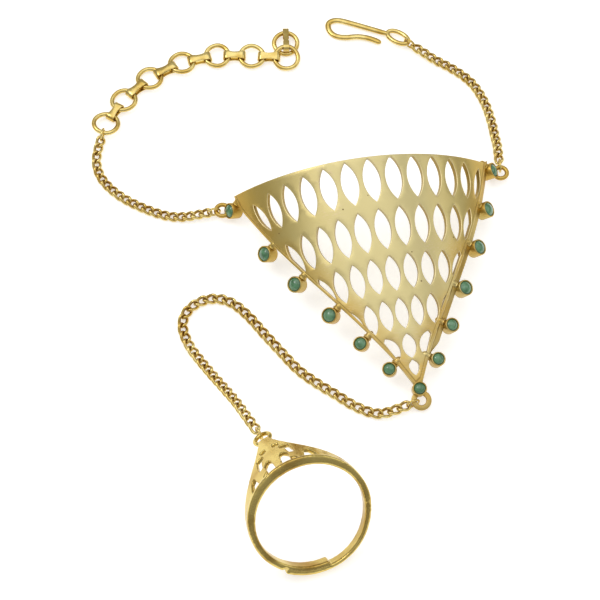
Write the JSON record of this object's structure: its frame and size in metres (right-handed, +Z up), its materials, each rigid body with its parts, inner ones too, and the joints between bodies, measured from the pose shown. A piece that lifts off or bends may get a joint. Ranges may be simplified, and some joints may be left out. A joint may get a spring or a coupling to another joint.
{
  "type": "hand chain bracelet",
  "caption": "Arched pierced gold-tone hand plate with a row of green cabochons, wrist chains with hook and ring extender, and a curb chain to an adjustable finger ring.",
  "frame": {"origin": "middle of the piece's box, on the floor that it lies on", "axes": "+X to the right of the open bracelet, +Y from the finger ring to the hook, +Z up"},
  "size_m": [0.0686, 0.102, 0.0171],
  "materials": {
    "satin_gold": "satin, finely scratched",
    "chain_gold": "polished",
    "green_stone": "smooth low cabochon"
  },
  "bodies": {
    "root": {"hand_plate": "satin_gold", "stone_tip": "green_stone", "stone_left_1": "green_stone", "stone_left_2": "green_stone", "stone_left_3": "green_stone", "stone_left_4": "green_stone", "stone_left_5": "green_stone", "stone_left_6": "green_stone", "stone_right_1": "green_stone", "stone_right_2": "green_stone", "stone_right_3": "green_stone", "stone_right_4": "green_stone", "stone_right_5": "green_stone", "stone_right_6": "green_stone", "left_wrist_chain": "chain_gold", "right_wrist_chain": "chain_gold", "finger_chain": "chain_gold", "end_link_left": "chain_gold", "end_link_extender": "chain_gold", "end_link_right": "chain_gold", "end_link_hook": "chain_gold", "end_link_tip": "chain_gold", "end_link_ring": "chain_gold", "extender_ring_1": "chain_gold", "extender_ring_2": "chain_gold", "extender_ring_3": "chain_gold", "extender_ring_4": "chain_gold", "extender_ring_5": "chain_gold", "extender_ring_6": "chain_gold", "extender_ring_7": "chain_gold", "extender_ring_8": "chain_gold", "connector_1": "chain_gold", "connector_2": "chain_gold", "connector_3": "chain_gold", "connector_4": "chain_gold", "connector_5": "chain_gold", "connector_6": "chain_gold", "connector_7": "chain_gold", "hook": "chain_gold", "finger_ring": "satin_gold"}
  },
  "joints": []
}
